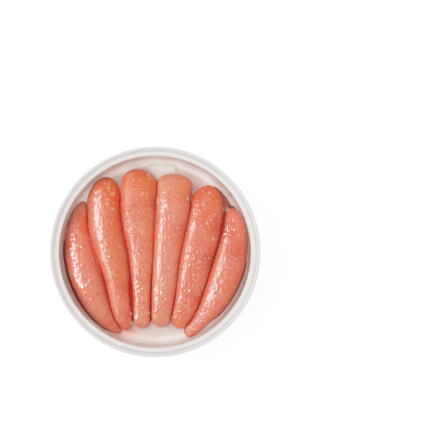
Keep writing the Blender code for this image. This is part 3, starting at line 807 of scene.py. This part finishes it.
def crease(name, spec, side, neighbour, start, end, rise, share):
    """A flattened tube of juice along one side of a sac, from start to end. It is as wide as a share of the
    gap and of a bite on each side, and its top lies a share of the sac's height above the widest place, and
    lower where the gap is wider. Its rings turn with the side, so that its faces point outwards."""
    t = np.linspace(start, end, CREASE_STEPS)
    centre, across, half = plan_of(spec, t)
    rest, above, _ = heights_of(spec, t)
    gap = gap_to(spec, t, side, neighbour)
    middle = centre + side * (half + 0.5 * share * gap)[:, None] * across
    top = rest + rise * above - CREASE_DROP * np.clip(gap, 0.0, 4.0)
    taper = np.sqrt(fade(t, start, start + CREASE_TAPER) * fade(-t, -end, -end + CREASE_TAPER))
    turn = np.linspace(0.0, side * 2.0 * math.pi, CREASE_SIDES, endpoint=False)
    half_width = 0.5 * share * np.clip(gap, 0.0, 6.0) + CREASE_BITE * share
    reach = (half_width * taper)[:, None] * np.cos(turn)
    z = (top - CREASE_HEIGHT)[:, None] + CREASE_HEIGHT * taper[:, None] * np.sin(turn)
    plan = middle[:, None, :] + side * reach[..., None] * across[:, None, :]
    grid = np.concatenate([plan, z[..., None]], axis=2)
    close_ends(grid)
    return skin(name, grid)


def seasoning_juice():
    """Chilli seasoning thinned by the roe's own juice: a deep red, a little cloudy and wet."""
    made, tree, output = new_material("red_seasoning_juice")
    place = add(tree, "ShaderNodeTexCoord", {}).outputs["Object"]
    cloud = add(tree, "ShaderNodeTexNoise", {"Vector": place, "Scale": 1.0 / (6.0 * MM), "Detail": 2.0})
    colour = add(tree, "ShaderNodeMix", {0: cloud.outputs["Fac"], 6: linear("E44836"), 7: linear("C43C30")},
                 data_type="RGBA")
    shader = add(tree, "ShaderNodeBsdfPrincipled", {
        "Base Color": colour.outputs[2], "Roughness": 0.12, "IOR": 1.36,
        "Subsurface Weight": 0.6, "Subsurface Radius": (1.0, 0.2, 0.15), "Subsurface Scale": 2.0 * MM})
    tree.links.new(shader.outputs["BSDF"], output.inputs["Surface"])
    return made


juice_finish = seasoning_juice()
creases = [
    ("juice_wall_1", "roe_1", -1, None, 0.24, 0.93, 0.15, 0.6),
    ("juice_1_2", "roe_1", 1, "roe_2", 0.10, 0.97, 0.58, 1.0),
    ("juice_2_3", "roe_2", 1, "roe_3", 0.14, 0.96, 0.5, 1.0),
    ("juice_3_4", "roe_3", 1, "roe_4", 0.14, 0.96, 0.58, 1.0),
    ("juice_4_5", "roe_4", 1, "roe_5", 0.18, 0.96, 0.58, 1.0),
    ("juice_5_6", "roe_5", 1, "roe_6", 0.14, 0.96, 0.5, 1.0),
    ("juice_wall_6", "roe_6", 1, None, 0.34, 0.80, -0.1, 0.25),
]
for piece_name, name, side, neighbour, start, end, rise, share in creases:
    juice = crease(piece_name, SACS[name], side, SACS.get(neighbour), start, end, rise, share)
    juice.data.materials.append(juice_finish)
    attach(juice, "root")


def even_on_outline(count):
    """Places along a sac from 0 to 1, closer together at both ends, where its outline turns: half of 1 less
    the cosine of even angles."""
    return 0.5 - 0.5 * np.cos(np.linspace(0.0, math.pi, count))


def tub_tint_and_painted_light():
    """How strongly each point of the tub is tinted, from 0 to 1, and where the boss is painted lighter.
    Beside the sacs the tint is partly juice stain and partly painted red light bounced from the roe into the
    shade there. It is strongest beside the sacs' middles, less so at both their ends and on the right, and
    dies away exponentially with the distance in plan from their outlines and smoothly with the height. The
    rest of the inside below the ledge has a faint tint, except the boss, whose top is painted a purer white
    as painted light. Two spots under the thin ends of the first two sacs, partly juice and partly painted
    shade, and lumps make it uneven."""
    points = np.empty(3 * len(tub.data.vertices))
    tub.data.vertices.foreach_get("co", points)
    points = points.reshape(-1, 3) / MM
    x, y, z = points.T
    gap = np.full(len(points), 100.0)
    for spec in SACS.values():
        centre, across, half = plan_of(spec, even_on_outline(FILM_STEPS))
        for side in (-1, 1):
            edge = centre + side * half[:, None] * across
            gap = np.minimum(gap, np.hypot(x[:, None] - edge[:, 0], y[:, None] - edge[:, 1]).min(axis=1))
    inside = (np.hypot(x, y) < wall_radius(z) + 0.2) & (z > 0.5 * FLOOR) & (z < LEDGE_HEIGHT)
    most = FILM_THICK_ENDS + FILM_MORE[0] * fade(-y, *FILM_MORE[1:]) - FILM_LESS[0] * fade(-y, *FILM_LESS[1:])
    most = most * (1.0 - FILM_RIGHT[0] * fade(x, *FILM_RIGHT[1:]))
    # Beside the sacs: partly juice stain, partly painted red bounce light in the shade.
    near = most * np.exp(-gap / FILM_REACH) * fade(-z, -FILM_TOP, -10.0)
    # Painted light: the boss's top is left out of the faint tint and painted purer white.
    on_boss = np.clip(2.0 * boss_height(x, y) / BOSS_HEIGHT, 0.0, 1.0) * (z < CORNER_HEIGHT)
    thin = FILM_REST * (1.0 - on_boss) * fade(-z, -LEDGE_HEIGHT, -LEDGE_HEIGHT + 3.0)
    spot = zones(points[:, None, :], FILM_SPOTS)[:, 0] * (z < CORNER_HEIGHT)
    uneven = 1.0 + 0.35 * lumps(points, 9.0, 71)
    film = np.clip((np.maximum(near, thin) + spot) * uneven * inside, 0.0, FILM_MOST)
    return {"film": film.astype(np.float32), "boss_painted_light": (on_boss * inside).astype(np.float32)}


for mask, values in tub_tint_and_painted_light().items():
    tub.data.attributes.new(mask, "FLOAT", "POINT").data.foreach_set("value", values)


# Shreds: short threads of torn membrane that bridge the creases or lie beside them. Each is thin, pale and
# wet, and drawn out to a point at both ends. The ends are at SHRED_LOWEST or higher, so six of the shreds,
# over lower places, hang clear of what is below.
SHRED_STEPS = 24
SHRED_SIDES = 8
SHRED_RADIUS = 0.5
SHRED_LOWEST = 16.0
SHRED_BEND = 0.35
SHRED_LIFT = 0.25
JUICE_LEVEL = 10.5
SHREDS = (
    ((58.2, 38.8), (59.4, 34.0)), ((60.8, 38.6), (61.8, 34.2)), ((62.9, 37.2), (63.2, 34.8)),
    ((0.6, 46.0), (4.2, 43.6)), ((1.2, 43.6), (2.4, 40.6)),
    ((26.4, 47.6), (29.6, 43.8)), ((30.8, 46.2), (31.4, 43.2)), ((26.8, 37.6), (30.2, 36.8)),
    ((-78.0, 19.4), (-75.6, 17.6)), ((-22.4, -52.8), (-20.2, -54.2)), ((-21.6, -60.4), (-20.4, -63.6)),
    ((-6.4, -51.8), (-5.2, -54.2)), ((48.8, 12.4), (50.2, 9.6)), ((45.6, -4.2), (46.4, -7.0)),
)


def top_at(x, y):
    """The height of the plain form of the highest sac at points in plan: a superellipse over the distance to
    the centre line. Between the sacs it is the level of the juice."""
    t = np.linspace(0.0, 1.0, CURVE_STEPS)
    highest = np.full(len(x), FLOOR + JUICE_LEVEL)
    for spec in SACS.values():
        centre, _, half = plan_of(spec, t)
        distance = np.hypot(x[:, None] - centre[:, 0], y[:, None] - centre[:, 1])
        nearest = distance.argmin(axis=1)
        rest, above, _ = (heights[nearest] for heights in heights_of(spec, t))
        out = distance.min(axis=1) / np.maximum(half[nearest], 0.1)
        top = rest + above * np.clip(1.0 - out ** spec["shoulder"], 0.0, 1.0) ** (1.0 / spec["shoulder"])
        highest = np.maximum(highest, np.where(out < 1.0, top, 0.0))
    return highest


def make_shred(name, start, end):
    """A thread from start to end in plan, bent sideways a little. Its radius follows the sine to the power
    0.7, from 0 at both ends. It runs straight between its ends' heights, and over any sac that is higher."""
    u = np.linspace(0.0, 1.0, SHRED_STEPS)
    way = np.subtract(end, start)
    across = np.array([-way[1], way[0]]) / np.hypot(*way)
    line = np.add(start, u[:, None] * way) + SHRED_BEND * np.sin(2.5 * math.pi * u)[:, None] * across
    radius = SHRED_RADIUS * np.sin(math.pi * u) ** 0.7
    turn = np.linspace(0.0, 2.0 * math.pi, SHRED_SIDES, endpoint=False)
    plan = line[:, None, :] + (radius[:, None] * np.cos(turn))[..., None] * across
    draped = top_at(line[:, 0], line[:, 1])
    straight = np.linspace(max(draped[0], SHRED_LOWEST), max(draped[-1], SHRED_LOWEST), SHRED_STEPS)
    z = (np.maximum(draped, straight) + SHRED_LIFT)[:, None] + radius[:, None] * np.sin(turn)
    grid = np.concatenate([plan, z[..., None]], axis=2)
    close_ends(grid)
    return skin(name, grid)


def torn_membrane():
    """Bare membrane: a milky, glossy skin of almost no colour of its own, with a faint pink painted in for
    the roe's light that comes through it.
    """
    made, tree, output = new_material("torn_roe_membrane")
    shader = add(tree, "ShaderNodeBsdfPrincipled", {
        "Base Color": linear("FFE4D8"), "Roughness": 0.22, "IOR": 1.38,
        "Subsurface Weight": 0.5, "Subsurface Radius": (1.0, 0.6, 0.5), "Subsurface Scale": 1.0 * MM})
    tree.links.new(shader.outputs["BSDF"], output.inputs["Surface"])
    return made


membrane_finish = torn_membrane()
for number, (start, end) in enumerate(SHREDS, start=1):
    shred = make_shred(f"shred_{number}", start, end)
    shred.data.materials.append(membrane_finish)
    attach(shred, "root")


# Surface below: a plain white sweep, far larger than the view, bright enough to read as paper white. Its
# light comes up through the thin white tub a little.
FLOOR_HALF = 1.5


def white_sweep():
    """Matt white paper, lit from behind as a light table is."""
    made, tree, output = new_material("white_paper_sweep")
    shader = add(tree, "ShaderNodeBsdfPrincipled", {
        "Base Color": linear("F4F4F4"), "Roughness": 0.9, "Emission Color": linear("FFFFFF"),
        "Emission Strength": 0.95})
    tree.links.new(shader.outputs["BSDF"], output.inputs["Surface"])
    return made


sweep_mesh = bpy.data.meshes.new("white_sweep")
sweep_corners = [(x * FLOOR_HALF, y * FLOOR_HALF, 0.0) for x, y in ((-1, -1), (1, -1), (1, 1), (-1, 1))]
sweep_mesh.from_pydata(sweep_corners, [], [(0, 1, 2, 3)])
sweep = bpy.data.objects.new("white_sweep", sweep_mesh)
sweep.data.materials.append(white_sweep())
bpy.context.scene.collection.objects.link(sweep)


# Light: an even white room, a soft key high on the left, a softbox overhead that lights the inside of the
# tub, and a long narrow one beside the key that shows only as the bright streak along each wet sac.
LAMP_DISTANCE = 1.5


def softbox(name, elevation, y, size, power):
    """A rectangular lamp that faces down to the tub from the left, at an elevation in degrees. Its second
    side is parallel to Y, and y shifts it that way."""
    data = bpy.data.lights.new(name, "AREA")
    data.shape = "RECTANGLE"
    data.size, data.size_y = size
    data.energy = power
    lamp = bpy.data.objects.new(name, data)
    angle = math.radians(elevation)
    lamp.location = (-LAMP_DISTANCE * math.cos(angle), y, LAMP_DISTANCE * math.sin(angle))
    lamp.rotation_euler = (0.0, -(math.pi / 2.0 - angle), 0.0)
    lamp.visible_camera = False
    bpy.context.scene.collection.objects.link(lamp)
    return lamp


softbox("key_softbox", 56.0, 0.35, (0.9, 1.8), 11.8)
overhead = softbox("overhead_softbox", 88.0, 0.3, (1.4, 1.4), 7.6)
overhead.visible_glossy = False
streak = softbox("streak_softbox", 54.0, 0.0, (0.66, 1.7), 56.0)
streak.data.color = linear("D8F0FF")[:3]
streak.visible_diffuse = False
room = bpy.data.worlds.new("white_room")
room.use_nodes = True
room.node_tree.nodes["Background"].inputs["Color"].default_value = linear("FFFFFF")
room.node_tree.nodes["Background"].inputs["Strength"].default_value = 0.33
bpy.context.scene.world = room


# Camera: straight above, looking down, at 1.6 m over the rim, with the tub left of and below the middle of
# the frame as in the photograph. Its tone curve is straight in the darker half and rolls off in the lights,
# as a camera's is, so that wet highlights on the roe don't burn out.
CAMERA_HEIGHT = 1600.0
CAMERA_PLACE = (55.4, 27.2)
VIEW_HALF_WIDTH = 187.5
WHITE_LIGHT = 1.7
STRAIGHT_UP_TO = 0.5


def rolled_off(light):
    """The tone for an amount of light: equal to it up to the knee, and above it 1 less a share that dies
    away exponentially with the same slope at the knee."""
    over = np.maximum(light - STRAIGHT_UP_TO, 0.0)
    high = 1.0 - (1.0 - STRAIGHT_UP_TO) * np.exp(-over / (1.0 - STRAIGHT_UP_TO))
    return np.where(light < STRAIGHT_UP_TO, light, high)


view = bpy.context.scene.view_settings
view.view_transform = "Standard"
view.use_curve_mapping = True
view.curve_mapping.white_level = (WHITE_LIGHT, WHITE_LIGHT, WHITE_LIGHT)
tone = view.curve_mapping.curves[3]
for light in (0.25, 0.5, 0.65, 0.8, 1.0, 1.2, 1.45):
    tone.points.new(light / WHITE_LIGHT, float(rolled_off(light) / rolled_off(WHITE_LIGHT)))
view.curve_mapping.update()

camera_data = bpy.data.cameras.new("camera")
camera_data.angle = 2.0 * math.atan(VIEW_HALF_WIDTH / CAMERA_HEIGHT)
camera_data.clip_start, camera_data.clip_end = 0.1, 10.0
camera = bpy.data.objects.new("camera", camera_data)
camera.location = (CAMERA_PLACE[0] * MM, CAMERA_PLACE[1] * MM, (TUB_HEIGHT + CAMERA_HEIGHT) * MM)
bpy.context.scene.collection.objects.link(camera)
bpy.context.scene.camera = camera
